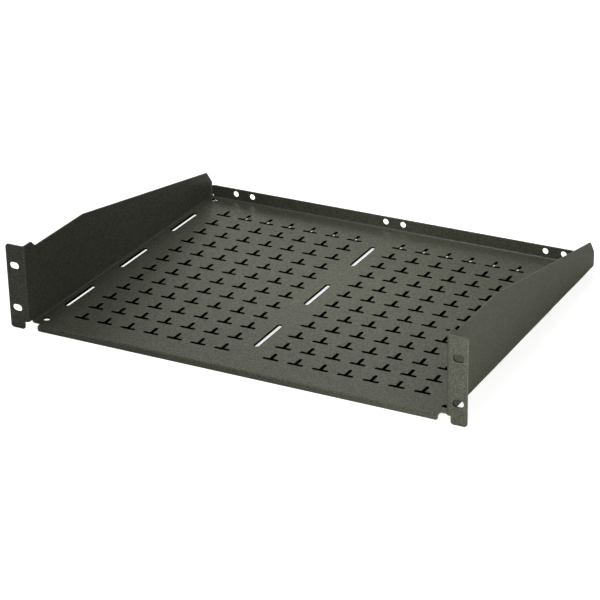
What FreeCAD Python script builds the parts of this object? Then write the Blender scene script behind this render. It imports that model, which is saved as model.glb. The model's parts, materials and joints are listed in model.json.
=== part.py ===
"""Cantilever rack shelf, 2U high, for a 19-inch rack: one folded and punched steel sheet.

Frame: +X to the right, +Y from the ears towards the rear, +Z up. The origin is the centre of
the four ear slots, on the back face of the ears, which is the face that meets the rack rails.
Each flat of the sheet is padded from its own outline and each fold is a quarter ring, so the
body is built the way the blank is folded. All lengths are in millimetres.
"""
import FreeCAD, Part
import math
import os

import Sketcher
from FreeCAD import Placement, Rotation, Vector

NODE = "shelf_tray"

# Driving dimensions: name, value and what it measures.
SIZES = (
    ("gauge", 1.5, "thickness of the sheet"),
    ("bend_radius", 1.5, "inside radius of every fold"),
    ("overall_width", 482.6, "across the outer edges of both ears"),
    ("ear_height", 88.1, "ear, top to bottom: two rack units less clearance"),
    ("overall_depth", 360.0, "ear front face to rear flange outer face"),
    ("body_width", 444.0, "across the outer faces of the side panels"),
    ("lip_flat", 3.0, "straight part of the front lip, down to the level of the ears' lower edge"),
    ("lip_corner_radius", 2.5, "lower corners of the front lip"),
    ("flange_height", 15.0, "deck underside up to the top edge of the rear flange"),
    ("flange_corner_radius", 2.0, "upper corners of the rear flange"),
    ("flange_end_gap", 1.0, "each end of the rear flange to the side panel"),
    ("rear_slit_width", 0.8, "slit between the fold of the rear flange and a side fold"),
    ("rear_slit_rise", 0.8, "slit above the top of the flange's fold, where the flange widens"),
    ("panel_height", 81.7, "ear bottom to the level top edge of a side panel"),
    ("shoulder_length", 12.5, "full-height part of a side panel behind the ear"),
    ("shoulder_run", 6.5, "slant from the full height down to the level top edge"),
    ("shoulder_radius", 2.0, "rounding of the shoulder and of the knee"),
    ("knee_position", 104.5, "ear back face to where the top edge starts to fall"),
    ("slope_end_height", 36.3, "ear bottom to the low end of the sloping edge"),
    ("rear_slant_run", 11.0, "length along the depth of the slanted rear corner"),
    ("rear_edge_height", 22.0, "ear bottom to the top of the upright rear edge"),
    ("rear_corner_radius", 2.0, "rounding of the slanted rear corner"),
    ("panel_overhang", 1.0, "side panel beyond the rear flange"),
    ("ear_corner_radius", 3.5, "outer corners of an ear"),
    ("tab_inset", 1.5, "end of the ear fold to the inner edge of the ear's lower tab"),
    ("tab_corner_radius", 3.0, "inner lower corner of the tab"),
    ("relief_width", 10.0, "front corner relief, inwards from the side panel"),
    ("relief_depth", 6.3, "front corner relief, behind the face of the lip"),
    ("relief_radius", 1.0, "inner corner of the front relief"),
    ("relief_rise", 0.5, "front corner relief above the top of the deck fold"),
    ("ear_slot_spacing", 465.1, "ear slot centres, left to right"),
    ("ear_slot_pitch", 44.45, "ear slot centres, bottom to top"),
    ("ear_slot_length", 10.5, "ear slot, end to end"),
    ("ear_slot_width", 7.0, "ear slot, for an M6 rack screw"),
    ("tee_bar_length", 16.4, "vent tee: bar, end to end"),
    ("tee_reach", 14.0, "vent tee: front of the bar to the end of the stem"),
    ("tee_slot_width", 3.2, "vent tee: width of the bar and of the stem"),
    ("tee_first_column", 26.0, "deck centre to the first column of tees"),
    ("tee_column_pitch", 26.0, "from column to column"),
    ("tee_row_pitch", 25.6, "from row to row"),
    ("tee_columns", 7, "columns on each side of the centre"),
    ("tee_rows", 12, "rows, front to rear"),
    ("strap_slot_length", 51.5, "strap slot, end to end"),
    ("strap_slot_width", 5.2, "strap slot"),
    ("strap_slot_pitch", 102.4, "strap slot centres, front to rear"),
    ("strap_slot_rows", 3, "strap slots in each line"),
    ("side_line_inset", 10.0, "side panel to the line of side strap slots and corner holes"),
    ("corner_hole_diameter", 6.5, "deck corner holes"),
    ("front_hole_inset", 17.0, "front corner holes behind the face of the lip"),
    ("rear_hole_inset", 9.5, "rear corner holes ahead of the flange face"),
    ("flange_hole_diameter", 6.5, "holes in the rear flange"),
    ("flange_hole_pitch", 20.0, "between the two holes of a pair"),
    ("flange_pair_offset", 180.0, "deck centre to an outer pair"),
    ("flange_hole_rise", 9.0, "deck underside to the flange hole centres"),
)


class Size:
    """A length that is both a number and an expression in the cells of the sheet."""

    def __init__(self, value, text):
        self.value = value
        self.text = text

    def joined(self, sign, other, value):
        return Size(value, "({} {} {})".format(self.text, sign, text_of(other)))

    def __add__(self, other):
        return self.joined("+", other, self.value + value_of(other))

    def __sub__(self, other):
        return self.joined("-", other, self.value - value_of(other))

    def __mul__(self, factor):
        return self.joined("*", factor, self.value * value_of(factor))

    def __truediv__(self, factor):
        return self.joined("/", factor, self.value / value_of(factor))

    def __neg__(self):
        return Size(-self.value, "(-{})".format(self.text))


def value_of(length):
    """The number behind a Size, or a plain number as it is."""
    return length.value if isinstance(length, Size) else length


def text_of(length):
    """The expression behind a Size, or a plain number written out."""
    return length.text if isinstance(length, Size) else "{:.6g}".format(length)


def make_sheet(doc):
    """Write the driving dimensions to a spreadsheet and return them as Sizes by name."""
    sheet = doc.addObject("Spreadsheet::Sheet", "Sizes")
    sizes = {}
    for row, (name, value, meaning) in enumerate(SIZES, start=1):
        sheet.set("A{}".format(row), name)
        sheet.set("B{}".format(row), str(value))
        sheet.set("C{}".format(row), meaning)
        sheet.setAlias("B{}".format(row), name)
        sizes[name] = Size(float(value), "Sizes.{}".format(name))
    doc.recompute()
    return sizes


def new_sketch(body, name, role, offset=None):
    """A sketch on one of the body's origin planes, moved along the plane's normal by offset."""
    sketch = body.newObject("Sketcher::SketchObject", name)
    plane = next(item for item in body.Origin.OriginFeatures if item.Role == role)
    sketch.AttachmentSupport = [(plane, "")]
    sketch.MapMode = "FlatFace"
    if offset is not None:
        sketch.AttachmentOffset = Placement(Vector(0, 0, offset.value), Rotation())
        sketch.setExpression("AttachmentOffset.Base.z", offset.text)
    return sketch


def bind(sketch, kind, anchor, length):
    """Add one dimension to a sketch and tie it to its expression."""
    index = sketch.addConstraint(Sketcher.Constraint(kind, *anchor, value_of(length)))
    if isinstance(length, Size):
        sketch.setExpression("Constraints[{}]".format(index), length.text)


def place(sketch, element, point, across, up):
    """Fix a point of a sketch element at (across, up) from the sketch's origin."""
    for kind, axis, length in (("DistanceX", -2, across), ("DistanceY", -1, up)):
        if value_of(length) == 0:
            sketch.addConstraint(Sketcher.Constraint("PointOnObject", element, point, axis))
        else:
            bind(sketch, kind, (-1, 1, element, point), length)


def corner_arc(before, corner, after, radius):
    """Centre and tangent points of a rounding of one corner."""
    towards = (before - corner).normalize()
    away = (after - corner).normalize()
    half_angle = towards.getAngle(away) / 2
    reach = radius / math.tan(half_angle)
    centre = corner + (towards + away).normalize() * (radius / math.sin(half_angle))
    return centre, corner + towards * reach, corner + away * reach


def draw_arc(sketch, centre, start, end):
    """Add the shorter arc from start to end; return its index and its end-point numbers."""
    circle = Part.Circle(centre, Vector(0, 0, 1), (start - centre).Length)
    forward = (start - centre).cross(end - centre).z > 0
    first, last = (start, end) if forward else (end, start)
    span = (circle.parameter(first), circle.parameter(last))
    arc = sketch.addGeometry(Part.ArcOfCircle(circle, *span), False)
    return (arc, 1, 2) if forward else (arc, 2, 1)


def draw_outline(sketch, corners):
    """Draw a closed outline. Each corner is (across, up) or (across, up, radius)."""
    count = len(corners)
    points = [Vector(value_of(corner[0]), value_of(corner[1]), 0) for corner in corners]
    rounded = {}
    for index, corner in enumerate(corners):
        if len(corner) == 3:
            before = points[index - 1]
            after = points[(index + 1) % count]
            rounded[index] = corner_arc(before, points[index], after, value_of(corner[2]))
    lines = []
    for index in range(count):
        following = (index + 1) % count
        start = rounded[index][2] if index in rounded else points[index]
        end = rounded[following][1] if following in rounded else points[following]
        lines.append(sketch.addGeometry(Part.LineSegment(start, end), False))
    for index, corner in enumerate(corners):
        before, after = lines[index - 1], lines[index]
        if index not in rounded:
            sketch.addConstraint(Sketcher.Constraint("Coincident", before, 2, after, 1))
            place(sketch, after, 1, corner[0], corner[1])
            continue
        centre, start, end = rounded[index]
        arc, arc_start, arc_end = draw_arc(sketch, centre, start, end)
        mark = sketch.addGeometry(Part.Point(points[index]), True)
        sketch.addConstraint(Sketcher.Constraint("Tangent", before, 2, arc, arc_start))
        sketch.addConstraint(Sketcher.Constraint("Tangent", arc, arc_end, after, 1))
        sketch.addConstraint(Sketcher.Constraint("PointOnObject", mark, 1, before))
        sketch.addConstraint(Sketcher.Constraint("PointOnObject", mark, 1, after))
        place(sketch, mark, 1, corner[0], corner[1])
        bind(sketch, "Radius", (arc,), corner[2])


def draw_circle(sketch, across, up, diameter):
    """Draw a round hole centred at (across, up)."""
    centre = Vector(value_of(across), value_of(up), 0)
    circle = Part.Circle(centre, Vector(0, 0, 1), value_of(diameter) / 2)
    element = sketch.addGeometry(circle, False)
    place(sketch, element, 3, across, up)
    bind(sketch, "Diameter", (element,), diameter)


def draw_slot(sketch, across, up, length, width, upright):
    """Draw a round-ended slot centred at (across, up), lying along the second axis if upright."""
    radius = width / 2
    straight = (length - width) / 2
    ends = []
    for side in (-1, 1):
        shift = straight * side
        centre_across = across if upright else across + shift
        centre_up = up + shift if upright else up
        ends.append((centre_across, centre_up, side))
    arcs = []
    for centre_across, centre_up, side in ends:
        centre = Vector(value_of(centre_across), value_of(centre_up), 0)
        middle = (math.pi / 2 if upright else 0) + (0 if side > 0 else math.pi)
        circle = Part.Circle(centre, Vector(0, 0, 1), radius.value)
        half_turn = Part.ArcOfCircle(circle, middle - math.pi / 2, middle + math.pi / 2)
        arc = sketch.addGeometry(half_turn, False)
        place(sketch, arc, 3, centre_across, centre_up)
        arcs.append(arc)
    first, second = arcs
    for one, other in ((first, second), (second, first)):
        start = sketch.Geometry[one].EndPoint
        end = sketch.Geometry[other].StartPoint
        side_line = sketch.addGeometry(Part.LineSegment(start, end), False)
        sketch.addConstraint(Sketcher.Constraint("Tangent", one, 2, side_line, 1))
        sketch.addConstraint(Sketcher.Constraint("Tangent", side_line, 2, other, 1))
    bind(sketch, "Radius", (first,), radius)


def draw_quarter_ring(sketch, centre_across, centre_up, inner, outer, side, level):
    """Draw the section of a fold: the quarter ring on the given side and level of its centre."""
    centre = Vector(centre_across.value, centre_up.value, 0)
    rings = []
    for radius in (inner, outer):
        on_level = centre + Vector(0, level * radius.value, 0)
        on_side = centre + Vector(side * radius.value, 0, 0)
        arc, at_level, at_side = draw_arc(sketch, centre, on_level, on_side)
        place(sketch, arc, 3, centre_across, centre_up)
        bind(sketch, "Radius", (arc,), radius)
        rings.append((arc, at_level, at_side, on_level, on_side))
    (small, small_level, small_side, *small_ends) = rings[0]
    (large, large_level, large_side, *large_ends) = rings[1]
    at_level = Part.LineSegment(small_ends[0], large_ends[0])
    at_side = Part.LineSegment(small_ends[1], large_ends[1])
    upright = sketch.addGeometry(at_level, False)
    flat = sketch.addGeometry(at_side, False)
    joins = ((upright, small_level, large_level), (flat, small_side, large_side))
    for line, small_end, large_end in joins:
        sketch.addConstraint(Sketcher.Constraint("Coincident", line, 1, small, small_end))
        sketch.addConstraint(Sketcher.Constraint("Coincident", line, 2, large, large_end))
    for arc, arc_level, arc_side in ((small, small_level, small_side), (large, large_level, large_side)):
        sketch.addConstraint(Sketcher.Constraint("Vertical", arc, arc_level, arc, 3))
        sketch.addConstraint(Sketcher.Constraint("Horizontal", arc, arc_side, arc, 3))


def pad(body, sketch, name, length, backwards=False, middle=False):
    """Pad a sketch by a bound length, along its normal unless backwards, or to both sides."""
    feature = body.newObject("PartDesign::Pad", name)
    feature.Profile = sketch
    feature.Length = length.value
    feature.setExpression("Length", length.text)
    feature.Reversed = backwards
    if middle:
        feature.SideType = "Symmetric"
    sketch.Visibility = False
    return feature


def pocket(body, sketch, name, length, backwards=False):
    """Cut a sketch by a bound length, against its normal unless backwards."""
    feature = body.newObject("PartDesign::Pocket", name)
    feature.Profile = sketch
    feature.Length = length.value
    feature.setExpression("Length", length.text)
    feature.Reversed = backwards
    sketch.Visibility = False
    return feature


class Layout:
    """Levels and stations of the sheet that several features share."""

    def __init__(self, s):
        self.outer_radius = s["bend_radius"] + s["gauge"]
        self.bottom = -s["ear_height"] / 2
        self.top = s["ear_height"] / 2
        self.lip_top = self.bottom + s["lip_flat"]
        self.deck_top = self.lip_top + self.outer_radius
        self.deck_underside = self.deck_top - s["gauge"]
        self.fold_top = self.deck_top + s["bend_radius"]
        self.relief_top = self.fold_top + s["relief_rise"]
        self.side = s["body_width"] / 2
        self.side_inner = self.side - s["gauge"]
        self.deck_side = self.side_inner - s["bend_radius"]
        self.lip_end = self.side - s["relief_width"]
        self.flange_end = self.side_inner - s["flange_end_gap"]
        self.flange_fold_end = self.deck_side - s["rear_slit_width"]
        self.slit_top = self.fold_top + s["rear_slit_rise"]
        self.side_line = self.side - s["side_line_inset"]
        self.ear_side = self.side + s["bend_radius"]
        self.panel_front = s["bend_radius"]
        self.back = s["overall_depth"] - s["gauge"]
        self.panel_back = self.back + s["panel_overhang"]
        self.deck_back = self.back - self.outer_radius
        self.deck_middle = self.back / 2


def add_deck(body, s, at):
    """The flat deck, narrower in front of the corner reliefs."""
    sketch = new_sketch(body, "DeckOutline", "XY_Plane", at.deck_underside)
    draw_outline(sketch, (
        (at.lip_end, at.outer_radius),
        (at.lip_end, s["relief_depth"], s["relief_radius"]),
        (at.deck_side, s["relief_depth"]),
        (at.deck_side, at.deck_back),
        (-at.deck_side, at.deck_back),
        (-at.deck_side, s["relief_depth"]),
        (-at.lip_end, s["relief_depth"], s["relief_radius"]),
        (-at.lip_end, at.outer_radius),
    ))
    return pad(body, sketch, "Deck", s["gauge"])


def add_side(body, s, at):
    """The right-hand side: deck fold, side panel, ear fold and ear. Returns the four pads."""
    fold = new_sketch(body, "SideFoldSection", "XZ_Plane", -s["relief_depth"])
    draw_quarter_ring(fold, at.deck_side, at.fold_top, s["bend_radius"], at.outer_radius, 1, -1)
    fold_length = at.panel_back - s["relief_depth"]
    side_fold = pad(body, fold, "SideFold", fold_length, backwards=True)

    outline = new_sketch(body, "PanelOutline", "YZ_Plane", at.side_inner)
    panel_top = at.bottom + s["panel_height"]
    draw_outline(outline, (
        (at.panel_front, at.relief_top),
        (s["relief_depth"], at.relief_top),
        (s["relief_depth"], at.fold_top),
        (at.panel_back, at.fold_top),
        (at.panel_back, at.bottom + s["rear_edge_height"], s["rear_corner_radius"]),
        (at.panel_back - s["rear_slant_run"], at.bottom + s["slope_end_height"],
         s["rear_corner_radius"]),
        (s["knee_position"], panel_top),
        (s["shoulder_length"] + s["shoulder_run"], panel_top, s["shoulder_radius"]),
        (s["shoulder_length"], at.top, s["shoulder_radius"]),
        (at.panel_front, at.top),
    ))
    panel = pad(body, outline, "SidePanel", s["gauge"])

    section = new_sketch(body, "EarFoldSection", "XY_Plane", at.relief_top)
    draw_quarter_ring(section, at.ear_side, at.panel_front, s["bend_radius"], at.outer_radius, -1, -1)
    ear_fold = pad(body, section, "EarFold", at.top - at.relief_top)

    face = new_sketch(body, "EarOutline", "XZ_Plane")
    tab_edge = at.ear_side + s["tab_inset"]
    ear_edge = s["overall_width"] / 2
    draw_outline(face, (
        (at.ear_side, at.relief_top),
        (tab_edge, at.relief_top),
        (tab_edge, at.bottom, s["tab_corner_radius"]),
        (ear_edge, at.bottom, s["ear_corner_radius"]),
        (ear_edge, at.top, s["ear_corner_radius"]),
        (at.ear_side, at.top),
    ))
    ear = pad(body, face, "Ear", s["gauge"])
    return [side_fold, panel, ear_fold, ear]


def mirror_side(body, originals):
    """The left-hand side, mirrored from the right."""
    mirrored = body.newObject("PartDesign::Mirrored", "OtherSide")
    mirrored.Originals = originals
    plane = next(item for item in body.Origin.OriginFeatures if item.Role == "YZ_Plane")
    mirrored.MirrorPlane = (plane, [""])
    body.Tip = mirrored
    return mirrored


def add_lip(body, s, at):
    """The front lip, folded down from the deck, with rounded lower corners."""
    section = new_sketch(body, "LipFoldSection", "YZ_Plane")
    draw_quarter_ring(section, at.outer_radius, at.lip_top, s["bend_radius"], at.outer_radius, -1, 1)
    pad(body, section, "LipFold", at.lip_end * 2, middle=True)
    face = new_sketch(body, "LipOutline", "XZ_Plane")
    draw_outline(face, (
        (-at.lip_end, at.lip_top),
        (-at.lip_end, at.bottom, s["lip_corner_radius"]),
        (at.lip_end, at.bottom, s["lip_corner_radius"]),
        (at.lip_end, at.lip_top),
    ))
    return pad(body, face, "Lip", s["gauge"], backwards=True)


def add_flange(body, s, at):
    """The rear flange, folded up from the deck and wider above the slits beside its fold."""
    section = new_sketch(body, "FlangeFoldSection", "YZ_Plane")
    draw_quarter_ring(section, at.deck_back, at.fold_top, s["bend_radius"], at.outer_radius, 1, -1)
    pad(body, section, "FlangeFold", at.flange_fold_end * 2, middle=True)
    face = new_sketch(body, "FlangeOutline", "XZ_Plane", -at.back)
    flange_top = at.deck_underside + s["flange_height"]
    draw_outline(face, (
        (-at.flange_fold_end, at.fold_top),
        (at.flange_fold_end, at.fold_top),
        (at.flange_fold_end, at.slit_top),
        (at.flange_end, at.slit_top),
        (at.flange_end, flange_top, s["flange_corner_radius"]),
        (-at.flange_end, flange_top, s["flange_corner_radius"]),
        (-at.flange_end, at.slit_top),
        (-at.flange_fold_end, at.slit_top),
    ))
    return pad(body, face, "Flange", s["gauge"])


def cut_ear_slots(body, s, at):
    """Two slots in each ear, lying across it, so that the screws find the rack's holes."""
    sketch = new_sketch(body, "EarSlots", "XZ_Plane")
    for side in (-1, 1):
        for level in (-1, 1):
            across = s["ear_slot_spacing"] * side / 2
            up = s["ear_slot_pitch"] * level / 2
            draw_slot(sketch, across, up, s["ear_slot_length"], s["ear_slot_width"], False)
    return pocket(body, sketch, "EarSlotCut", s["gauge"], backwards=True)


def cut_flange_holes(body, s, at):
    """Three pairs of round holes along the rear flange."""
    sketch = new_sketch(body, "FlangeHoles", "XZ_Plane", -at.back)
    rise = at.deck_underside + s["flange_hole_rise"]
    for pair in (-1, 0, 1):
        for side in (-1, 1):
            across = s["flange_pair_offset"] * pair + s["flange_hole_pitch"] * side / 2
            draw_circle(sketch, across, rise, s["flange_hole_diameter"])
    return pocket(body, sketch, "FlangeHoleCut", s["gauge"], backwards=True)


def cut_corner_holes(body, s, at):
    """One round hole near each corner of the deck."""
    sketch = new_sketch(body, "CornerHoles", "XY_Plane", at.deck_top)
    for side in (-1, 1):
        for station in (s["front_hole_inset"], at.back - s["rear_hole_inset"]):
            draw_circle(sketch, at.side_line * side, station, s["corner_hole_diameter"])
    return pocket(body, sketch, "CornerHoleCut", s["gauge"])


def cut_strap_slots(body, s, at):
    """Rows of long slots for straps: on the centre line and along both sides."""
    sketch = new_sketch(body, "StrapSlots", "XY_Plane", at.deck_top)
    first_row = at.deck_middle - s["strap_slot_pitch"] * (s["strap_slot_rows"] - 1) / 2
    for line in (-1, 0, 1):
        draw_slot(sketch, at.side_line * line, first_row, s["strap_slot_length"],
                  s["strap_slot_width"], True)
    cut = pocket(body, sketch, "StrapSlotCut", s["gauge"])
    rows = body.newObject("PartDesign::LinearPattern", "StrapSlotRows")
    rows.Originals = [cut]
    set_direction(rows, body, "Y_Axis", s["strap_slot_pitch"], s["strap_slot_rows"])
    body.Tip = rows
    return rows


def cut_tees(body, s, at):
    """The field of tee-shaped vents: bar towards the front, stem towards the rear.

    The ends of bar and stem are square here, which keeps the many copies light.
    """
    sketch = new_sketch(body, "VentTee", "XY_Plane", at.deck_top)
    column = s["tee_first_column"]
    front = at.deck_middle - s["tee_row_pitch"] * (s["tee_rows"] - 1) / 2 - s["tee_reach"] / 2
    bar_back = front + s["tee_slot_width"]
    end = front + s["tee_reach"]
    bar = s["tee_bar_length"] / 2
    stem = s["tee_slot_width"] / 2
    right = (
        (bar, front),
        (bar, bar_back),
        (stem, bar_back),
        (stem, end),
    )
    corners = [(column + across, along) for across, along in right]
    corners += [(column - across, along) for across, along in reversed(right)]
    draw_outline(sketch, corners)
    tee = pocket(body, sketch, "VentTeeCut", s["gauge"])

    field = body.newObject("PartDesign::MultiTransform", "VentField")
    field.Originals = [tee]
    columns = body.newObject("PartDesign::LinearPattern", "VentColumns")
    set_direction(columns, body, "X_Axis", s["tee_column_pitch"], s["tee_columns"])
    rows = body.newObject("PartDesign::LinearPattern", "VentRows")
    set_direction(rows, body, "Y_Axis", s["tee_row_pitch"], s["tee_rows"])
    other = body.newObject("PartDesign::Mirrored", "VentMirror")
    plane = next(item for item in body.Origin.OriginFeatures if item.Role == "YZ_Plane")
    other.MirrorPlane = (plane, [""])
    field.Transformations = [columns, rows, other]
    body.Tip = field
    return field


def set_direction(pattern, body, role, pitch, count):
    """Set a linear pattern's axis, and bind its pitch and its number of copies."""
    axis = next(item for item in body.Origin.OriginFeatures if item.Role == role)
    pattern.Direction = (axis, [""])
    pattern.Mode = "Spacing"
    pattern.setExpression("Offset", pitch.text)
    pattern.setExpression("Occurrences", count.text)


def check(doc, body):
    """Stop if any object of the document failed or the sheet isn't one valid solid."""
    for item in doc.Objects:
        if "Invalid" in item.State or "Error" in item.State:
            raise RuntimeError("{} failed: {}".format(item.Name, item.State))
    shape = body.Shape
    if shape.isNull() or not shape.isValid() or len(shape.Solids) != 1:
        raise RuntimeError("the sheet isn't one valid solid")


def check_cuts(cuts):
    """Stop if a cut removed nothing, which is how a cut that points away shows itself."""
    for cut in cuts:
        before = cut.BaseFeature or cut.Originals[0]
        removed = before.Shape.Volume - cut.Shape.Volume
        if removed <= 0:
            raise RuntimeError("{} removes nothing".format(cut.Name))
        print("{} removes {:.1f} mm3".format(cut.Name, removed))


def count_tees(field):
    """The number of tees in the field, from what all of them and one of them remove."""
    one = field.Originals[0]
    whole = one.BaseFeature.Shape.Volume
    return round((whole - field.Shape.Volume) / (whole - one.Shape.Volume))


def main():
    """Build the shelf and write its STEP file."""
    doc = FreeCAD.newDocument("cantilever_rack_shelf")
    sizes = make_sheet(doc)
    layout = Layout(sizes)
    body = doc.addObject("PartDesign::Body", NODE)
    body.Label = NODE
    add_deck(body, sizes, layout)
    mirror_side(body, add_side(body, sizes, layout))
    add_lip(body, sizes, layout)
    add_flange(body, sizes, layout)
    cuts = [
        cut_ear_slots(body, sizes, layout),
        cut_flange_holes(body, sizes, layout),
        cut_corner_holes(body, sizes, layout),
        cut_strap_slots(body, sizes, layout),
    ]
    tees = cut_tees(body, sizes, layout)
    body.Placement = Placement()
    doc.recompute()
    check(doc, body)
    check_cuts(cuts + [tees])
    print("vent tees: {}".format(count_tees(tees)))
    os.makedirs("parts", exist_ok=True)
    body.Shape.exportStep(os.path.join("parts", NODE + ".step"))
    box = body.Shape.BoundBox
    print("volume {:.0f} mm3, {:.1f} x {:.1f} x {:.1f} mm".format(
        body.Shape.Volume, box.XLength, box.YLength, box.ZLength))


main()
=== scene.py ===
"""Looks of the cantilever rack shelf: one punched and folded steel sheet in charcoal powder coat.

The sheet is drawn again as its flat blank, with round slot ends and slightly rounded cut edges,
and folded up by formula into the place of the CAD node. Lengths in SheetSizes are millimetres,
as they are in the part's source; Blender's own units are metres. The frame is the CAD's: +X to
the right, +Y from the ears to the rear, +Z up, with the origin on the back face of the ears.
"""
import json
import logging
import math
from dataclasses import dataclass
from enum import IntEnum

import bpy
import numpy as np
from mathutils import Matrix, Vector
from mathutils.geometry import delaunay_2d_cdt


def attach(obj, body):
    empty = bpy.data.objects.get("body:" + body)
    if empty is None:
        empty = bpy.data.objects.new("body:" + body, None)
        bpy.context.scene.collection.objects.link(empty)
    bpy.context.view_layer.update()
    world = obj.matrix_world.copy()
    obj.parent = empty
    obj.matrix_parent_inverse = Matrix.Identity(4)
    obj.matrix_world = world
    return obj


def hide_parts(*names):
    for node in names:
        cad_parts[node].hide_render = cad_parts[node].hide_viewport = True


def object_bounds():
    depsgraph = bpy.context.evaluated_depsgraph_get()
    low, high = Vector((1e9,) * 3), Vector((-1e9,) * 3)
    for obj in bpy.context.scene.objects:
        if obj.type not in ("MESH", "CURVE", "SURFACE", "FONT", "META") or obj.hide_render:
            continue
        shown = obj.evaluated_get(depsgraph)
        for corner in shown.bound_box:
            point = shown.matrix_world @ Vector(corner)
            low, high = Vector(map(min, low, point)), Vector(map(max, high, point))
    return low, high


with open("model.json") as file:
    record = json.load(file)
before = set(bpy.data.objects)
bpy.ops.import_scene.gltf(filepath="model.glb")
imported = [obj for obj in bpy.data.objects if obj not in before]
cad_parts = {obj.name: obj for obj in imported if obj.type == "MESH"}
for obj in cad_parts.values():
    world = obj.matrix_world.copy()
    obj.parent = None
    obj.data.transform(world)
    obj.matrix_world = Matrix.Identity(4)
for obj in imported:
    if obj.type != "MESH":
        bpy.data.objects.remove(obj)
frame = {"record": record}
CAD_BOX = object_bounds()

logging.basicConfig(level=logging.INFO, format="%(message)s")
LOG = logging.getLogger("rack_shelf")

MM = 0.001
QUARTER_TURN = math.pi / 2
NODE = "shelf_tray"
WHITE = "#ffffff"
BLACK = "#000000"


class Side(IntEnum):
    """A half of the part, as the sign of its X."""

    LEFT = -1
    RIGHT = 1


# ---------------------------------------------------------------------------------------------
# Sizes of the sheet
# ---------------------------------------------------------------------------------------------

@dataclass(frozen=True)
class Mounts:
    """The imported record's mounts and openings, by name, in millimetres."""

    record: dict

    def mount(self, name: str) -> dict:
        """Returns the mount that has this name."""
        return next(mount for mount in self.record["mounts"] if mount["name"] == name)

    def size(self, name: str, key: str) -> float:
        """Returns one of a mount's dimensions, in millimetres."""
        return self.mount(name)["dims"][key]

    def place(self, name: str) -> tuple[float, ...]:
        """Returns a mount's position, in millimetres."""
        return tuple(value / MM for value in self.mount(name)["pos_m"])

    def centres(self, prefix: str) -> list[tuple[float, float]]:
        """Returns the X and Y centres of all openings whose name starts with prefix."""
        found = [opening["box_m"] for opening in self.record["physics"]["openings"]
                 if opening["name"].startswith(prefix)]
        return [((low[0] + high[0]) / 2 / MM, (low[1] + high[1]) / 2 / MM) for low, high in found]


@dataclass(frozen=True)
class SheetSizes:
    """Driving dimensions of the folded sheet, in millimetres, as in the part's source."""

    half_width: float
    half_height: float
    rear_edge: float
    gauge: float = 1.5
    bend_radius: float = 1.5
    body_width: float = 444.0
    lip_flat: float = 3.0
    lip_corner_radius: float = 2.5
    flange_height: float = 15.0
    flange_corner_radius: float = 2.0
    flange_end_gap: float = 1.0
    rear_slit_width: float = 0.8
    rear_slit_rise: float = 0.8
    panel_height: float = 81.7
    shoulder_length: float = 12.5
    shoulder_run: float = 6.5
    shoulder_radius: float = 2.0
    knee_position: float = 104.5
    slope_end_height: float = 36.3
    rear_slant_run: float = 11.0
    rear_edge_height: float = 22.0
    rear_corner_radius: float = 2.0
    panel_overhang: float = 1.0
    ear_corner_radius: float = 3.5
    tab_inset: float = 1.5
    tab_corner_radius: float = 3.0
    relief_width: float = 10.0
    relief_depth: float = 6.3
    relief_radius: float = 1.0
    relief_rise: float = 0.5
    tee_bar_length: float = 16.4
    tee_reach: float = 14.0
    tee_slot_width: float = 3.2
    tee_first_column: float = 26.0
    tee_column_pitch: float = 26.0
    tee_row_pitch: float = 25.6
    tee_columns: int = 7
    tee_rows: int = 12
    strap_slot_length: float = 51.5
    strap_slot_width: float = 5.2

    @property
    def outer_radius(self) -> float:
        """Radius of a fold's outer face."""
        return self.bend_radius + self.gauge

    @property
    def fold_length(self) -> float:
        """Length that the blank gives to a fold, along the middle of the sheet."""
        return QUARTER_TURN * (self.bend_radius + self.gauge / 2)

    @property
    def deck_top(self) -> float:
        """Height of the deck's upper face."""
        return -self.half_height + self.lip_flat + self.outer_radius

    @property
    def deck_underside(self) -> float:
        """Height of the deck's lower face."""
        return self.deck_top - self.gauge

    @property
    def deck_side(self) -> float:
        """Where the deck ends and a side fold starts, from the middle."""
        return self.body_width / 2 - self.outer_radius

    @property
    def flange_face(self) -> float:
        """Where the rear flange's outer face is."""
        return self.rear_edge - self.panel_overhang

    @property
    def deck_back(self) -> float:
        """Where the deck ends and the rear fold starts."""
        return self.flange_face - self.outer_radius


# ---------------------------------------------------------------------------------------------
# The blank: flat outlines and how they fold up
# ---------------------------------------------------------------------------------------------

Point = tuple[float, float]

# Largest turns between two points of a corner, of a round hole and of a tee's small ends.
ARC_STEP = math.radians(15.0)
HOLE_STEP = math.radians(11.25)
TEE_STEP = math.radians(22.5)

# Flat strips that make up a fold's curve.
FOLD_STEPS = 8

# Radius of the rounding of a cut edge, in millimetres, and the strips that make it up.
EDGE_ROUNDING = 0.28
EDGE_STEPS = 2

# Distances under SNAP count as none, and a fold line's end may miss the outline by ON_EDGE.
SNAP = 1e-6
ON_EDGE = 1e-4


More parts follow.
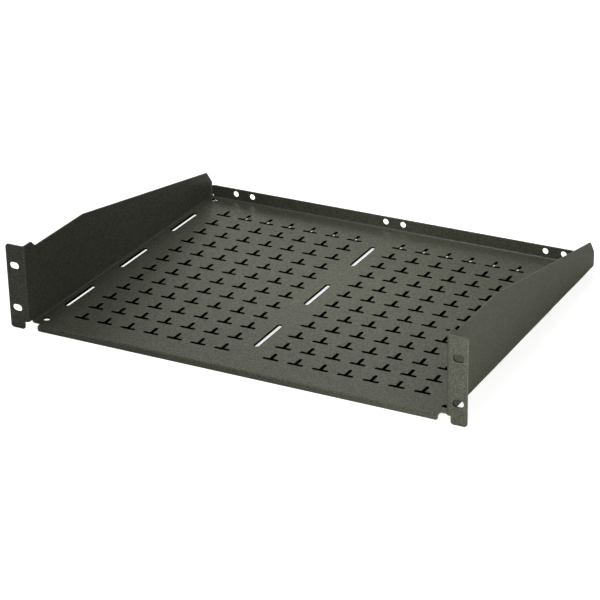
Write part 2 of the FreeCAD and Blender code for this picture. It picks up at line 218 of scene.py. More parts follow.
def rounded(corners: list[tuple[float, ...]], step: float = ARC_STEP) -> list[Point]:
    """Turns a closed outline of corners into points, with arcs at the corners that have a radius.

    Args:
        corners: (across, along) or (across, along, radius), in order.
        step: the largest turn between two points of an arc, in radians.

    Returns:
        The outline's points, without a repeat of the first.
    """
    points: list[Point] = []
    count = len(corners)
    for index, corner in enumerate(corners):
        here = np.array(corner[:2])
        if len(corner) == 2:
            points.append((float(here[0]), float(here[1])))
            continue
        towards = np.array(corners[index - 1][:2]) - here
        away = np.array(corners[(index + 1) % count][:2]) - here
        towards /= np.linalg.norm(towards)
        away /= np.linalg.norm(away)
        half = math.acos(float(np.clip(towards @ away, -1, 1))) / 2
        middle = (towards + away) / np.linalg.norm(towards + away)
        centre = here + middle * corner[2] / math.sin(half)
        start = here + towards * corner[2] / math.tan(half) - centre
        turn = math.pi - 2 * half
        steps = max(1, math.ceil(turn / step - SNAP))
        left = start[1] * towards[0] - start[0] * towards[1] > 0
        for number in range(steps + 1):
            angle = turn * number / steps * (1 if left else -1)
            cosine, sine = math.cos(angle), math.sin(angle)
            x = centre[0] + start[0] * cosine - start[1] * sine
            y = centre[1] + start[0] * sine + start[1] * cosine
            points.append((float(x), float(y)))
    return [point for index, point in enumerate(points)
            if math.dist(point, points[index - 1]) > SNAP]


def slot_outline(centre: Point, length: float, width: float) -> list[Point]:
    """Outlines a round-ended slot, or a round hole if length equals width.

    Args:
        centre: middle of the slot on the blank.
        length: end to end, along the blank's second axis.
        width: across the slot.

    Returns:
        The outline's points.
    """
    radius, up = width / 2, length / 2
    corners = ((-radius, -up), (radius, -up), (radius, up), (-radius, up))
    return rounded([(centre[0] + x, centre[1] + y, radius) for x, y in corners], HOLE_STEP)


@dataclass(frozen=True)
class Blank:
    """The flat sheet before folding: its outline, its holes and its fold lines."""

    sizes: SheetSizes
    mounts: Mounts

    @property
    def panel_start(self) -> float:
        """Where a side panel starts, past its fold."""
        return self.sizes.deck_side + self.sizes.fold_length

    @property
    def ear_start(self) -> float:
        """Where an ear starts, past its fold."""
        return self.sizes.bend_radius - self.sizes.fold_length

    @property
    def fold_top(self) -> float:
        """Height at which the deck's folds end."""
        return self.sizes.deck_underside + self.sizes.outer_radius

    @property
    def notch(self) -> float:
        """Where the relief beside an ear's fold ends."""
        return self.panel_start + self.sizes.relief_rise

    @property
    def lip_end(self) -> float:
        """Where the front lip ends."""
        return self.sizes.body_width / 2 - self.sizes.relief_width

    @property
    def flange_end(self) -> float:
        """Where the rear flange ends."""
        return self.sizes.body_width / 2 - self.sizes.gauge - self.sizes.flange_end_gap

    @property
    def flange_fold_end(self) -> float:
        """Where the rear flange's fold ends, at the slit beside it."""
        return self.sizes.deck_side - self.sizes.rear_slit_width

    @property
    def slit_top(self) -> float:
        """Where the slits beside the rear flange's fold end."""
        return self.sizes.deck_back + self.sizes.fold_length + self.sizes.rear_slit_rise

    def up(self, height: float) -> float:
        """Returns where a height above the ears' lower edge lies across the blank's panel."""
        return self.panel_start + height - self.sizes.half_height - self.fold_top

    def out(self, across: float) -> float:
        """Returns where a distance from the middle lies along the blank's ear."""
        ear_side = self.sizes.body_width / 2 + self.sizes.bend_radius
        return self.ear_start - (across - ear_side)

    def right_half(self) -> list[tuple[float, ...]]:
        """Lists the corners of the outline's right half, from the lip to the rear flange.

        Returns:
            Corners as rounded() takes them.
        """
        s = self.sizes
        ear_side = s.body_width / 2 + s.bend_radius
        lip_edge = s.outer_radius - s.fold_length - s.lip_flat
        flange_edge = s.deck_back + s.fold_length
        flange_edge += s.deck_underside + s.flange_height - self.fold_top
        full = 2 * s.half_height
        return [
            (self.lip_end, lip_edge, s.lip_corner_radius),
            (self.lip_end, s.relief_depth, s.relief_radius),
            (self.notch, s.relief_depth),
            (self.notch, self.out(ear_side + s.tab_inset)),
            (self.up(0), self.out(ear_side + s.tab_inset), s.tab_corner_radius),
            (self.up(0), self.out(s.half_width), s.ear_corner_radius),
            (self.up(full), self.out(s.half_width), s.ear_corner_radius),
            (self.up(full), s.shoulder_length, s.shoulder_radius),
            (self.up(s.panel_height), s.shoulder_length + s.shoulder_run, s.shoulder_radius),
            (self.up(s.panel_height), s.knee_position),
            (self.up(s.slope_end_height), s.rear_edge - s.rear_slant_run, s.rear_corner_radius),
            (self.up(s.rear_edge_height), s.rear_edge, s.rear_corner_radius),
            (s.deck_side, s.rear_edge),
            (s.deck_side, s.deck_back),
            (self.flange_fold_end, s.deck_back),
            (self.flange_fold_end, self.slit_top),
            (self.flange_end, self.slit_top),
            (self.flange_end, flange_edge, s.flange_corner_radius),
        ]

    def outline(self) -> list[Point]:
        """Draws the whole outline, with a point wherever a fold line meets it.

        Returns:
            The outline's points.
        """
        right = self.right_half()
        left = [(-corner[0], *corner[1:]) for corner in reversed(right)]
        loop = rounded(right + left)
        for ends in self.fold_lines():
            for end in ends:
                insert(loop, end)
        return loop

    def fold_lines(self) -> list[tuple[Point, Point]]:
        """Draws the lines across each fold that keep its curve.

        Returns:
            Each line as its two ends on the outline.
        """
        s = self.sizes
        lines = []
        for step in range(FOLD_STEPS + 1):
            run = s.fold_length * step / FOLD_STEPS
            for side in Side:
                across = side * (s.deck_side + run)
                end = s.rear_edge if step else s.deck_back
                lines.append(((across, s.relief_depth), (across, end)))
                along = s.bend_radius - run
                top = self.up(2 * s.half_height)
                lines.append(((side * self.notch, along), (side * top, along)))
            along = s.outer_radius - run
            lines.append(((-self.lip_end, along), (self.lip_end, along)))
            along = s.deck_back + run
            lines.append(((-self.flange_fold_end, along), (self.flange_fold_end, along)))
        return lines

    def tee(self, column: float, front: float) -> list[Point]:
        """Outlines one vent tee, with its bar to the front and round ends.

        Args:
            column: the stem's middle, across the blank.
            front: the bar's front edge, along the blank.

        Returns:
            The outline's points.
        """
        s = self.sizes
        bar, stem = s.tee_bar_length / 2, s.tee_slot_width / 2
        bar_back, end = front + s.tee_slot_width, front + s.tee_reach
        return rounded([
            (column - bar, front, stem), (column + bar, front, stem),
            (column + bar, bar_back, stem), (column + stem, bar_back),
            (column + stem, end, stem), (column - stem, end, stem),
            (column - stem, bar_back), (column - bar, bar_back, stem),
        ], TEE_STEP)

    def tees(self) -> list[list[Point]]:
        """Outlines all vent tees, in the two fields beside the middle line.

        Returns:
            The outlines, from the front row to the rear one.
        """
        s = self.sizes
        middle = s.flange_face / 2
        first = middle - s.tee_row_pitch * (s.tee_rows - 1) / 2 - s.tee_reach / 2
        found = []
        for row in range(s.tee_rows):
            for number in range(s.tee_columns):
                column = s.tee_first_column + s.tee_column_pitch * number
                for side in Side:
                    found.append(self.tee(side * column, first + s.tee_row_pitch * row))
        return found

    def slots_and_holes(self) -> list[list[Point]]:
        """Outlines the strap slots, the deck's and flange's round holes and the ears' slots.

        Returns:
            The outlines, in that order.
        """
        s, m = self.sizes, self.mounts
        found = [slot_outline(centre, s.strap_slot_length, s.strap_slot_width)
                 for centre in m.centres("strap_slot")]
        across = m.size("deck_corner_holes", "spacing_x_mm") / 2
        along = m.size("deck_corner_holes", "spacing_y_mm") / 2
        bore = 2 * m.size("deck_corner_holes", "hole_r_mm")
        middle = m.place("deck_corner_holes")[1]
        for side in Side:
            for end in (-1, 1):
                found.append(slot_outline((side * across, middle + end * along), bore, bore))
        for name in ("flange_holes_left", "flange_holes_middle", "flange_holes_right"):
            place = m.place(name)
            bore = 2 * m.size(name, "hole_r_mm")
            station = s.deck_back + s.fold_length + place[2] - self.fold_top
            for side in Side:
                spot = place[0] + side * m.size(name, "spacing_x_mm") / 2
                found.append(slot_outline((spot, station), bore, bore))
        column = self.out(m.size("ear_slots", "spacing_x_mm") / 2)
        length, width = m.size("ear_slots", "slot_length_mm"), 2 * m.size("ear_slots", "hole_r_mm")
        for side in Side:
            for level in (-1, 1):
                height = s.half_height + level * m.size("ear_slots", "spacing_y_mm") / 2
                found.append(slot_outline((side * self.up(height), column), length, width))
        return found

    def bend(self, run: np.ndarray, radius: np.ndarray) -> tuple[np.ndarray, np.ndarray]:
        """Carries points round one right-angled fold.

        Args:
            run: how far each point lies past the fold's start, on the blank.
            radius: how far each point lies from the fold's axis.

        Returns:
            How far each point goes forward, and how far it goes sideways.
        """
        turn = np.clip(run / self.sizes.fold_length, 0, 1) * QUARTER_TURN
        past = np.maximum(run - self.sizes.fold_length, 0)
        forward = np.minimum(run, 0) + radius * np.sin(turn)
        return forward, radius * (1 - np.cos(turn)) + past

    def fold(self, flat: np.ndarray) -> np.ndarray:
        """Folds points of the blank up into the part's shape.

        Args:
            flat: rows of (across, along, depth), with depth 0 on the deck's underside.

        Returns:
            Rows of (x, y, z) in millimetres.
        """
        s = self.sizes
        across, along, depth = flat[:, 0], flat[:, 1], flat[:, 2]
        side, reach = np.sign(across), np.abs(across)

        # The deck and the side panels.
        forward, rise = self.bend(reach - s.deck_side, s.outer_radius - depth)
        x = s.deck_side + forward
        z = s.deck_underside + depth + rise
        y = along.copy()

        # The ears, whose lower edge is well past the lip's end.
        forward, rise = self.bend(s.bend_radius - along, s.bend_radius + depth)
        ear = (along < s.bend_radius) & (reach > (self.lip_end + self.up(0)) / 2)
        x = np.where(ear, s.body_width / 2 - depth + rise, x)
        y = np.where(ear, s.bend_radius - forward, y)
        z = np.where(ear, self.fold_top + reach - self.panel_start, z)

        # The front lip.
        forward, rise = self.bend(s.outer_radius - along, s.bend_radius + depth)
        lip = ~ear & (reach <= s.deck_side) & (along < s.outer_radius)
        y = np.where(lip, s.outer_radius - forward, y)
        z = np.where(lip, z - rise, z)

        # The rear flange, between the slits beside its fold, and wider than them past their end.
        slit = (self.flange_fold_end + s.deck_side) / 2
        flange = (along > s.deck_back) & (reach < slit)
        flange |= (along > (s.rear_edge + self.slit_top) / 2) & (reach < s.body_width / 2)
        forward, rise = self.bend(along - s.deck_back, s.outer_radius - depth)
        x = np.where(flange, reach, x)
        y = np.where(flange, s.deck_back + forward, y)
        z = np.where(flange, s.deck_underside + depth + rise, z)
        return np.column_stack((side * x, y, z))


def insert(loop: list[Point], point: Point) -> None:
    """Adds a point to the loop's edge that it lies on, unless the loop has it already.

    Args:
        loop: the closed outline, which is changed.
        point: a point on it.

    Raises:
        ValueError: if the point isn't on the outline.
    """
    spots = np.array(loop)
    here = np.array(point)
    if np.min(np.abs(spots - here).sum(axis=1)) < SNAP:
        return
    edges = np.roll(spots, -1, axis=0) - spots
    lengths = np.maximum((edges ** 2).sum(axis=1), SNAP)
    share = np.clip(((here - spots) * edges).sum(axis=1) / lengths, 0, 1)
    gap = np.abs(spots + edges * share[:, None] - here).sum(axis=1)
    nearest = int(np.argmin(gap))
    if gap[nearest] > ON_EDGE:
        raise ValueError(f"fold line end {point} isn't on the outline")
    loop.insert(nearest + 1, point)


# ---------------------------------------------------------------------------------------------
# Finishes
# ---------------------------------------------------------------------------------------------

def linear(code: str) -> tuple[float, float, float, float]:
    """Turns an sRGB colour into the linear values that Blender takes.

    Args:
        code: a hex colour such as "#404040".

    Returns:
        Linear red, green and blue, and an alpha of 1.
    """
    channels = [int(code[index:index + 2], 16) / 255 for index in (1, 3, 5)]
    curve = [c / 12.92 if c <= 0.04045 else ((c + 0.055) / 1.055) ** 2.4 for c in channels]
    return (curve[0], curve[1], curve[2], 1.0)


# Sockets of the Mix node, which has a set of them for each kind of value.
FLOAT_A, FLOAT_B, FLOAT_OUT = 2, 3, 0
COLOUR_A, COLOUR_B, COLOUR_OUT = 6, 7, 2


def add_node(tree: bpy.types.NodeTree, kind: str, links: dict | None = None,
             **settings: object) -> bpy.types.Node:
    """Adds a node with its settings and its incoming links.

    Args:
        tree: the node tree.
        kind: the node's type.
        links: input name or number to an output socket, or to a plain value.
        **settings: the node's own properties.

    Returns:
        The new node.
    """
    node = tree.nodes.new(kind)
    for key, value in settings.items():
        setattr(node, key, value)
    for key, source in (links or {}).items():
        if isinstance(source, bpy.types.NodeSocket):
            tree.links.new(source, node.inputs[key])
        else:
            node.inputs[key].default_value = source
    return node


@dataclass(frozen=True)
class PowderCoat:
    """A polyester powder coat, sprayed on bent steel and baked.

    The powder melts into a matt skin with a fine sandy grain over slow waves, like an orange's
    peel, so the eye sees a soft sheen broken up into dark and light specks and no sharp
    reflection. The cut edges are painted paler, a painted highlight for the light that their
    rounding catches, and the walls of the punched holes are painted near black, a painted shade
    for the little light that gets into them.

    Lengths are in millimetres. The grain and the waves, here called peel, are each a noise with a
    width, a height, a number of finer layers (detail) and the share of each in it (mix), and the
    noise runs from noise_low to noise_high. Its low and high parts take the two grain colours and
    the two specular levels, and the waves spread the roughness. edge_show is how much of the
    painted edge highlight shows, and a hole's wall has its full painted shade, in colour and in
    specular level, where its mark reaches wall_full_at. The IOR stays at 1.5, which is a
    polyester's.
    """

    name: str
    dark_grain: str
    light_grain: str
    edge_highlight_colour: str
    edge_show: float
    wall_shade_colour: str
    wall_specular: float
    wall_full_at: float
    roughness: float
    roughness_spread: float
    low_specular: float
    high_specular: float
    grain_mm: float
    grain_height_mm: float
    grain_detail: float
    grain_mix: float
    peel_mm: float
    peel_height_mm: float
    peel_detail: float
    peel_mix: float
    noise_low: float
    noise_high: float

    def material(self) -> bpy.types.Material:
        """Makes the coat: two bump patterns, painted edge highlights and painted hole-wall shade.

        Returns:
            The material, which reads the mesh's cut_edge and hole_wall attributes.
        """
        material = bpy.data.materials.new(self.name)
        material.use_nodes = True
        tree = material.node_tree
        tree.nodes.clear()
        place = add_node(tree, "ShaderNodeTexCoord").outputs["Object"]
        grain = add_node(tree, "ShaderNodeTexNoise", {
            "Vector": place, "Scale": 1 / (self.grain_mm * MM),
            "Detail": self.grain_detail, "Roughness": self.grain_mix})
        peel = add_node(tree, "ShaderNodeTexNoise", {
            "Vector": place, "Scale": 1 / (self.peel_mm * MM),
            "Detail": self.peel_detail, "Roughness": self.peel_mix})
        speckle = add_node(tree, "ShaderNodeMapRange", {
            "Value": grain.outputs["Fac"],
            "From Min": self.noise_low, "From Max": self.noise_high})
        # Painted highlight: the cut edges are mixed towards a paler colour.
        edge = add_node(tree, "ShaderNodeAttribute", attribute_name="cut_edge")
        edge_highlight_share = add_node(tree, "ShaderNodeMath", {
            0: edge.outputs["Fac"], 1: self.edge_show}, operation="MULTIPLY")
        # Painted shade: the hole walls are mixed towards near black, with almost no specular.
        punched = add_node(tree, "ShaderNodeAttribute", attribute_name="hole_wall")
        wall = add_node(tree, "ShaderNodeMapRange", {
            "Value": punched.outputs["Fac"], "From Max": self.wall_full_at})
        body = add_node(tree, "ShaderNodeMix", {
            "Factor": speckle.outputs["Result"], COLOUR_A: linear(self.dark_grain),
            COLOUR_B: linear(self.light_grain)}, data_type="RGBA")
        edge_highlighted = add_node(tree, "ShaderNodeMix", {
            "Factor": edge_highlight_share.outputs["Value"], COLOUR_A: body.outputs[COLOUR_OUT],
            COLOUR_B: linear(self.edge_highlight_colour)}, data_type="RGBA")
        coat = add_node(tree, "ShaderNodeMix", {
            "Factor": wall.outputs["Result"], COLOUR_A: edge_highlighted.outputs[COLOUR_OUT],
            COLOUR_B: linear(self.wall_shade_colour)}, data_type="RGBA")
        glint = add_node(tree, "ShaderNodeMapRange", {
            "Value": speckle.outputs["Result"],
            "To Min": self.low_specular, "To Max": self.high_specular})
        shine = add_node(tree, "ShaderNodeMix", {
            "Factor": wall.outputs["Result"], FLOAT_A: glint.outputs["Result"],
            FLOAT_B: self.wall_specular}, data_type="FLOAT")
        waves = add_node(tree, "ShaderNodeBump", {
            "Height": peel.outputs["Fac"], "Distance": self.peel_height_mm * MM})
        relief = add_node(tree, "ShaderNodeBump", {
            "Height": grain.outputs["Fac"], "Distance": self.grain_height_mm * MM,
            "Normal": waves.outputs["Normal"]})
        gloss = add_node(tree, "ShaderNodeMapRange", {
            "Value": peel.outputs["Fac"],
            "From Min": self.noise_low, "From Max": self.noise_high,
            "To Min": self.roughness - self.roughness_spread,
            "To Max": self.roughness + self.roughness_spread})
        shader = add_node(tree, "ShaderNodeBsdfPrincipled", {
            "Base Color": coat.outputs[COLOUR_OUT], "Roughness": gloss.outputs["Result"],
            "Specular IOR Level": shine.outputs[FLOAT_OUT], "Normal": relief.outputs["Normal"]})
        add_node(tree, "ShaderNodeOutputMaterial", {"Surface": shader.outputs["BSDF"]})
        return material


# A real coat's grain is about 0.3 mm wide and 0.02 mm high, and its waves are lower still. That is
# too fine to show from where the camera stands, so the grain is drawn at 1.1 mm by 0.09 mm, and
# the waves keep a real width of 3.5 mm and are drawn 0.08 mm high.
CHARCOAL = PowderCoat(
    name="charcoal_fine_texture_powder_coat",
    dark_grain="#34342e",
    light_grain="#53534c",
    # A painted highlight on the cut edges.
    edge_highlight_colour="#77776f",
    edge_show=0.7,
    # Painted shade on the walls of the punched holes, with almost no specular.
    wall_shade_colour="#050505",
    wall_specular=0.02,
    wall_full_at=0.3,
    roughness=0.5,
    roughness_spread=0.04,
    low_specular=0.17,
    high_specular=0.83,
    grain_mm=1.1,
    grain_height_mm=0.09,
    grain_detail=2.0,
    grain_mix=0.6,
    peel_mm=3.5,
    peel_height_mm=0.08,
    peel_detail=1.0,
    peel_mix=0.5,
    noise_low=0.3,
    noise_high=0.7,
)


# ---------------------------------------------------------------------------------------------
# The folded sheet
# ---------------------------------------------------------------------------------------------

# How far a point is moved along its normal to see which way the fold turns it, in millimetres.
NORMAL_STEP = 1e-4

# How fast the mark of a hole's wall, which carries its painted shade, rises over the rounding:
# it is full from 30 degrees on.
WALL_RISE = 2.0


def counter_clockwise(loop: list[Point]) -> list[Point]:
    """Turns a closed loop to run counter-clockwise.

    Args:
        loop: the loop's points.

    Returns:
        The same points, in reverse if the loop ran clockwise.
    """
    points = np.array(loop)
    following = np.roll(points, -1, axis=0)
    area = (points[:, 0] * following[:, 1] - following[:, 0] * points[:, 1]).sum()
    return loop if area > 0 else loop[::-1]


def inside(point: np.ndarray, loop: np.ndarray) -> bool:
    """Tells whether a point lies inside a closed loop.

    Args:
        point: the point.
        loop: the loop's points, in rows.

    Returns:
        True if it does.
    """
    following = np.roll(loop, -1, axis=0)
    crosses = (loop[:, 1] > point[1]) != (following[:, 1] > point[1])
    rise = np.where(crosses, following[:, 1] - loop[:, 1], 1)
    meets = loop[:, 0] + (point[1] - loop[:, 1]) / rise * (following[:, 0] - loop[:, 0])
    return bool((crosses & (meets > point[0])).sum() % 2)


@dataclass
class FoldedSheet:
    """The shelf: two faces, and rounded cut edges round the outline and every hole."""

    sizes: SheetSizes
    mounts: Mounts
    finish: PowderCoat

    def __post_init__(self) -> None:
        """Lays out the blank, and numbers the points of its outline and holes."""
        self.blank = Blank(self.sizes, self.mounts)
        loops = [self.blank.outline()] + self.blank.slots_and_holes() + self.blank.tees()
        self.loops = [counter_clockwise(loop) for loop in loops]
        self.starts = np.cumsum([0] + [len(loop) for loop in self.loops])
        self.count = int(self.starts[-1])

    def outward(self) -> np.ndarray:
        """Works out the step out of the metal that keeps edges parallel.

        Returns:
            A row for each point of the loops.
        """
        steps = []
        for number, loop in enumerate(self.loops):
            points = np.array(loop)
            edge = np.roll(points, -1, axis=0) - points
            edge /= np.linalg.norm(edge, axis=1)[:, None]
            normal = np.column_stack((edge[:, 1], -edge[:, 0]))
            if number > 0:
                normal = -normal
            before = np.roll(normal, 1, axis=0)
            steps.append((normal + before) / (1 + (normal * before).sum(axis=1))[:, None])
        return np.vstack(steps)

    def triangles(self, inset: np.ndarray) -> list[tuple[int, int, int]]:
        """Fills the blank between its inset loops, along the fold lines.

        Args:
            inset: the loops' points, moved into the metal by the edge rounding.

        Returns:
            Triangles of point numbers.
        """
        inset = inset.astype(np.float32).astype(float)
        edges = []
        for number, loop in enumerate(self.loops):
            start, size = int(self.starts[number]), len(loop)
            edges += [(start + index, start + (index + 1) % size) for index in range(size)]
        outline = np.array(self.loops[0])
        for ends in self.blank.fold_lines():
            pair = [int(np.argmin(np.abs(outline - np.array(end)).sum(axis=1))) for end in ends]
            edges.append((pair[0], pair[1]))
        points = [Vector((float(x), float(y))) for x, y in inset]
        found = delaunay_2d_cdt(points, edges, [], 0, SNAP)
        original = [sources[0] for sources in found[3]]
        owner = np.repeat(np.arange(len(self.loops)), np.diff(self.starts))
        kept = []
        for face in found[2]:
            corners = tuple(original[index] for index in face)
            loops = {int(owner[corner]) for corner in corners}
            if len(loops) == 1:
                number = loops.pop()
                middle = inset[list(corners)].mean(axis=0)
                around = inset[self.starts[number]:self.starts[number + 1]]
                if inside(middle, around) == (number > 0):
                    continue
            kept.append(corners)
        return kept

    def rings(self) -> tuple[np.ndarray, np.ndarray, dict[str, np.ndarray]]:
        """Lays rings of points round every cut edge, from the upper face to the lower one.

        Returns:
            The points on the blank, their normals there, and the values of the two attributes
            that tell the finish where the edges and the walls of the holes are.
        """
        outline = np.vstack([np.array(loop) for loop in self.loops])
        out = self.outward()
        unit = out / np.linalg.norm(out, axis=1)[:, None]
        punched = (np.arange(self.count) >= self.starts[1]).astype(float)
        half = self.sizes.gauge / 2
        flat, normals, edge, wall = [], [], [], []
        for turn in self.turns():
            inset = EDGE_ROUNDING * (1 - math.cos(turn))
            depth = half + math.copysign(half - EDGE_ROUNDING, turn)
            depth += EDGE_ROUNDING * math.sin(turn)
            flat.append(np.column_stack((outline - out * inset, np.full(self.count, depth))))
            level = np.full((self.count, 1), math.sin(turn))
            normals.append(np.hstack((unit * math.cos(turn), level)))
            # The cut edges' mark carries their painted highlight, and the hole walls' mark their
            # painted shade.
            edge.append((1 - punched) * math.cos(turn))
            wall.append(punched * min(1.0, WALL_RISE * math.cos(turn)))
        values = {"cut_edge": np.concatenate(edge), "hole_wall": np.concatenate(wall)}
        return np.vstack(flat), np.vstack(normals), values

    def turns(self) -> list[float]:
        """Returns how far the surface has turned up at each ring, from the upper face down."""
        upper = [QUARTER_TURN * (1 - step / EDGE_STEPS) for step in range(EDGE_STEPS + 1)]
        return upper + [-turn for turn in reversed(upper)]

    def faces(self) -> list[tuple[int, ...]]:
        """Joins the rings' points into the two faces and the strips of the cut edges.

        Returns:
            Faces of point numbers.
        """
        outline = np.vstack([np.array(loop) for loop in self.loops])
        strips = len(self.turns()) - 1
        bottom = strips * self.count
        found: list[tuple[int, ...]] = []
        for corners in self.triangles(outline - self.outward() * EDGE_ROUNDING):
            found.append(corners)
            found.append(tuple(index + bottom for index in reversed(corners)))
        for number, loop in enumerate(self.loops):
            start, size = int(self.starts[number]), len(loop)
            for index in range(size):
                here, there = start + index, start + (index + 1) % size
                if number > 0:
                    here, there = there, here
                for strip in range(strips):
                    upper, lower = strip * self.count, (strip + 1) * self.count
                    found.append((here + upper, here + lower, there + lower, there + upper))
        return found

    def folded_normals(self, flat: np.ndarray, normals: np.ndarray) -> np.ndarray:
        """Turns normals on the blank into normals on the folded sheet.

        Args:
            flat: points of the blank, in rows.
            normals: their normals on the blank.

        Returns:
            Their normals on the folded sheet.
        """
        base = self.blank.fold(flat)
        turned = np.zeros_like(normals)
        for axis in range(3):
            moved = flat.copy()
            sign = np.where(normals[:, axis] > 0, -1, 1) * NORMAL_STEP
            moved[:, axis] += sign
            direction = (self.blank.fold(moved) - base) * np.sign(sign)[:, None]
            direction /= np.linalg.norm(direction, axis=1)[:, None]
            turned += direction * normals[:, axis:axis + 1]
        return turned / np.linalg.norm(turned, axis=1)[:, None]

    def build(self) -> bpy.types.Object:
        """Folds the rings up and makes the mesh, in metres, with exact normals.

        Returns:
            The mesh object, with the cut_edge and hole_wall attributes.
        """
        flat, normals, values = self.rings()
        mesh = bpy.data.meshes.new("folded_sheet")
        mesh.from_pydata((self.blank.fold(flat) * MM).tolist(), [], self.faces())
        mesh.validate(clean_customdata=False)
        mesh.polygons.foreach_set("use_smooth", [True] * len(mesh.polygons))
        mesh.normals_split_custom_set_from_vertices(self.folded_normals(flat, normals).tolist())
        for name, shares in values.items():
            attribute = mesh.attributes.new(name, "FLOAT", "POINT")
            attribute.data.foreach_set("value", shares)
        piece = bpy.data.objects.new("folded_sheet", mesh)
        bpy.context.collection.objects.link(piece)
        return piece

    def dress(self, piece: bpy.types.Object) -> None:
        """Coats the piece and sets it in the place of the CAD node.

        Args:
            piece: the mesh object that build() made.
        """
        piece.data.materials.append(self.finish.material())
        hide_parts(NODE)
        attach(piece, "root")


# ---------------------------------------------------------------------------------------------
# Stage, light and camera
# ---------------------------------------------------------------------------------------------

@dataclass(frozen=True)
class Zone:
    """A rectangle of the floor, in millimetres, on which the shade of the vented deck is painted.

    Its sides fade over the length side_blur, inside the rectangle, and its ends over end_blur.
    """

    left: float
    right: float
    front: float
    rear: float
    side_blur: float = 0.6
    end_blur: float = 3.0


@dataclass(frozen=True)
class Softbox:
    """A square softbox: where it stands and what it points at, in metres, its side and power."""

    name: str
    place: tuple[float, float, float]
    target: tuple[float, float, float]
    side: float
    watts: float

    def hang(self) -> None:
        """Makes the lamp and turns it towards its target."""
        data = bpy.data.lights.new(self.name, "AREA")
        data.shape = "SQUARE"
        data.size = self.side
        data.color = linear(SOFTBOX_TINT)[:3]
        data.energy = self.watts
        lamp = bpy.data.objects.new(self.name, data)
        bpy.context.collection.objects.link(lamp)
        lamp.location = self.place
        aim = Vector(self.target) - Vector(self.place)
        lamp.rotation_mode = "QUATERNION"
        lamp.rotation_quaternion = aim.to_track_quat("-Z", "Y")


@dataclass(frozen=True)
class Camera:
    """Where the camera stands, and its lens.

    Angles are in degrees. The lens, sensor, distance and aim are in millimetres, and the nearest
    and farthest points that it sees are in metres.
    """

    azimuth: float = 28.03
    elevation: float = 25.05
    roll: float = -1.17
    lens: float = 137.3
    sensor: float = 36.0
    distance: float = 2247.2
    aim: tuple[float, float, float] = (-7.06, 156.29, -35.80)
    near: float = 0.1
    far: float = 50.0

    def set_up(self) -> None:
        """Makes the camera, turns it to its aim and gives it to the scene."""
        azimuth, elevation = math.radians(self.azimuth), math.radians(self.elevation)
        back = Vector((math.sin(azimuth) * math.cos(elevation),
                       -math.cos(azimuth) * math.cos(elevation), math.sin(elevation)))
        level = Vector((0, 0, 1)).cross(back).normalized()
        right = Matrix.Rotation(math.radians(self.roll), 3, back) @ level
        data = bpy.data.cameras.new("camera")
        data.lens = self.lens
        data.sensor_width = self.sensor
        data.clip_start, data.clip_end = self.near, self.far
        camera = bpy.data.objects.new("camera", data)
        bpy.context.collection.objects.link(camera)
        turn = Matrix((right, back.cross(right), back)).transposed().to_4x4()
        place = Vector(self.aim) * MM + back * self.distance * MM
        camera.matrix_world = Matrix.Translation(place) @ turn
        bpy.context.scene.camera = camera


# Shade on the floor under the shelf, which is painted because the floor's glow outshines the real
# shadow. The deck's two fields of tees stand over the first two zones, and its rear over the next
# two, with a little light between. The narrow zone is under the deck's left side, and the small
# ones are under its corners.
SHADE = (Zone(-206, -5.8, 18, 330), Zone(8, 196, 18, 330),
         Zone(-206, -5.8, 329, 352), Zone(8, 196, 329, 352),
         Zone(-222, -218.4, 36, 345), Zone(198, 213, 22, 42), Zone(-222, -176, 316, 352),
         Zone(-222, -214, 27.8, 36, 0.6, 1.0), Zone(-222, -214, 358, 361.4, 0.6, 1.0))

# Side of the floor in metres, the share of light that its paint gives back, and the glow that
# only the camera sees, which brings it up to white.
FLOOR_SIDE = 12.0
FLOOR_WHITE = 0.8
FLOOR_GLOW = 0.86

SOFTBOX_TINT = "#fbfff1"
SOFTBOXES = (
    Softbox("top_left", (-0.414, 0.18, 1.545), (0.0, 0.18, 0.0), 0.8, 9.9),
    Softbox("rear_high", (0.0, 1.311, 1.131), (0.0, 0.18, 0.0), 0.8, 2.4),
    Softbox("rear_left_low", (-1.093, 1.273, 0.414), (0.0, 0.18, 0.0), 0.8, 3.06),
    Softbox("rear_left", (-0.681, 1.46, 0.676), (0.0, 0.18, 0.0), 0.5, 1.2),
    Softbox("rear_right", (0.68, 1.46, 0.68), (0.0, 0.18, 0.0), 0.4, 0.7),
    Softbox("front_left_low", (-1.093, -0.913, 0.414), (0.0, 0.18, 0.0), 0.8, 2.34),
    Softbox("over_flange", (0.05, 0.2, 0.18), (0.05, 0.357, -0.03), 0.12, 0.44),
    Softbox("over_front", (0.04, -0.14, 0.24), (0.0, 0.02, -0.04), 0.12, 0.14),
    Softbox("right_front_near", (0.38, -0.3, -0.01), (0.23, 0.0, -0.02), 0.06, 0.74),
    Softbox("right_ear_near", (0.21, -0.25, -0.02), (0.245, 0.0, -0.02), 0.06, 0.23),
    Softbox("right_low", (0.9, 0.1, -0.01), (0.222, 0.18, -0.01), 0.08, 3.12),
)


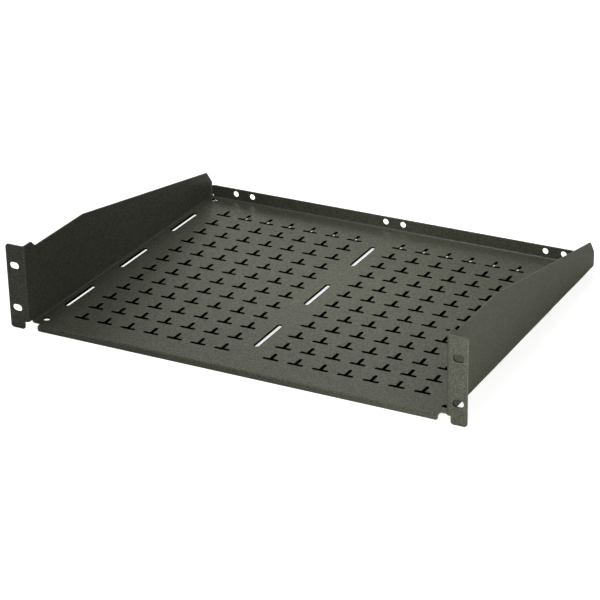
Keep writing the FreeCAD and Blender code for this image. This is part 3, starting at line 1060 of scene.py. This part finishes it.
@dataclass(frozen=True)
class Studio:
    """The pale floor, the white surround, the softboxes and the camera."""

    floor_height: float

    def step(self, tree: bpy.types.NodeTree, value: bpy.types.NodeSocket,
             low: float, high: float, blur: float) -> bpy.types.NodeSocket:
        """Marks where a coordinate lies between two values, with soft ends.

        Args:
            tree: the node tree.
            value: the coordinate's socket, in metres.
            low: the lower end, in millimetres.
            high: the upper end, in millimetres.
            blur: length over which each end fades, in millimetres.

        Returns:
            A socket that is 1 inside and 0 outside.
        """
        rise = add_node(tree, "ShaderNodeMapRange", {
            "Value": value, "From Min": low * MM, "From Max": (low + blur) * MM})
        fall = add_node(tree, "ShaderNodeMapRange", {
            "Value": value, "From Min": high * MM, "From Max": (high - blur) * MM})
        both = add_node(tree, "ShaderNodeMath", {
            0: rise.outputs["Result"], 1: fall.outputs["Result"]}, operation="MULTIPLY")
        return both.outputs["Value"]

    def shade(self, tree: bpy.types.NodeTree) -> bpy.types.NodeSocket:
        """Marks where the floor is lit and where the shelf's shade is painted on it.

        Args:
            tree: the floor material's node tree.

        Returns:
            A socket that is 1 in the light and 0 in the painted shade.
        """
        place = add_node(tree, "ShaderNodeTexCoord").outputs["Object"]
        axes = add_node(tree, "ShaderNodeSeparateXYZ", {0: place})
        lit = None
        for zone in SHADE:
            across = self.step(tree, axes.outputs["X"], zone.left, zone.right, zone.side_blur)
            along = self.step(tree, axes.outputs["Y"], zone.front, zone.rear, zone.end_blur)
            dark = add_node(tree, "ShaderNodeMath", {0: across, 1: along}, operation="MULTIPLY")
            clear = add_node(tree, "ShaderNodeMath", {
                0: 1.0, 1: dark.outputs["Value"]}, operation="SUBTRACT").outputs["Value"]
            lit = clear if lit is None else add_node(tree, "ShaderNodeMath", {
                0: lit, 1: clear}, operation="MULTIPLY").outputs["Value"]
        return lit

    def floor_material(self) -> bpy.types.Material:
        """Makes matt white paint, seen as an even white with no reflection, and with shade painted
        in.

        Returns:
            The material, white to the camera and painted dark where the shelf shades it.
        """
        material = bpy.data.materials.new("pale_floor")
        material.use_nodes = True
        tree = material.node_tree
        tree.nodes.clear()
        lit = self.shade(tree)
        # The floor's paint and its glow are both darkened by the painted shade.
        white = add_node(tree, "ShaderNodeCombineColor", {0: lit, 1: lit, 2: lit})
        paint = add_node(tree, "ShaderNodeMix", {
            "Factor": FLOOR_WHITE, COLOUR_A: linear(BLACK), COLOUR_B: white.outputs["Color"]},
            data_type="RGBA")
        matt = add_node(tree, "ShaderNodeBsdfDiffuse", {"Color": paint.outputs[COLOUR_OUT]})
        glow = add_node(tree, "ShaderNodeEmission", {
            "Color": white.outputs["Color"], "Strength": FLOOR_GLOW})
        seen = add_node(tree, "ShaderNodeAddShader", {
            0: matt.outputs["BSDF"], 1: glow.outputs["Emission"]})
        path = add_node(tree, "ShaderNodeLightPath")
        mixed = add_node(tree, "ShaderNodeMixShader", {
            0: path.outputs["Is Camera Ray"], 1: matt.outputs["BSDF"], 2: seen.outputs["Shader"]})
        add_node(tree, "ShaderNodeOutputMaterial", {"Surface": mixed.outputs["Shader"]})
        return material

    def floor(self) -> None:
        """Lays the floor under the part."""
        half = FLOOR_SIDE / 2
        corners = [(x, y, self.floor_height)
                   for x, y in ((-half, -half), (half, -half), (half, half), (-half, half))]
        mesh = bpy.data.meshes.new("floor")
        mesh.from_pydata(corners, [], [(0, 1, 2, 3)])
        mesh.materials.append(self.floor_material())
        floor = bpy.data.objects.new("floor", mesh)
        bpy.context.collection.objects.link(floor)

    def surround(self) -> None:
        """Makes the world white to the camera, and dark to all else.

        The coat is too matt to mirror the surround, and the softboxes alone light it.
        """
        world = bpy.data.worlds.new("surround")
        bpy.context.scene.world = world
        world.use_nodes = True
        tree = world.node_tree
        tree.nodes.clear()
        dark = add_node(tree, "ShaderNodeBackground", {"Color": linear(WHITE), "Strength": 0.0})
        white = add_node(tree, "ShaderNodeBackground", {"Color": linear(WHITE), "Strength": 1.0})
        path = add_node(tree, "ShaderNodeLightPath")
        mixed = add_node(tree, "ShaderNodeMixShader", {
            0: path.outputs["Is Camera Ray"], 1: dark.outputs["Background"],
            2: white.outputs["Background"]})
        add_node(tree, "ShaderNodeOutputWorld", {"Surface": mixed.outputs["Shader"]})

    def set_up(self) -> None:
        """Makes the whole stage."""
        self.floor()
        self.surround()
        for softbox in SOFTBOXES:
            softbox.hang()
        Camera().set_up()
        bpy.context.scene.view_settings.view_transform = "Standard"


def main() -> None:
    """Replaces the CAD sheet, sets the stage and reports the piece."""
    low, high = (tuple(round(value / MM, 3) for value in corner) for corner in CAD_BOX)
    sizes = SheetSizes(half_width=high[0], half_height=high[2], rear_edge=high[1])
    sheet = FoldedSheet(sizes, Mounts(frame["record"]), CHARCOAL)
    piece = sheet.build()
    sheet.dress(piece)
    LOG.info("%s: %d holes, %d points, %d faces", piece.name, len(sheet.loops) - 1,
             len(piece.data.vertices), len(piece.data.polygons))
    Studio(low[2] * MM).set_up()


if __name__ == "__main__":
    main()
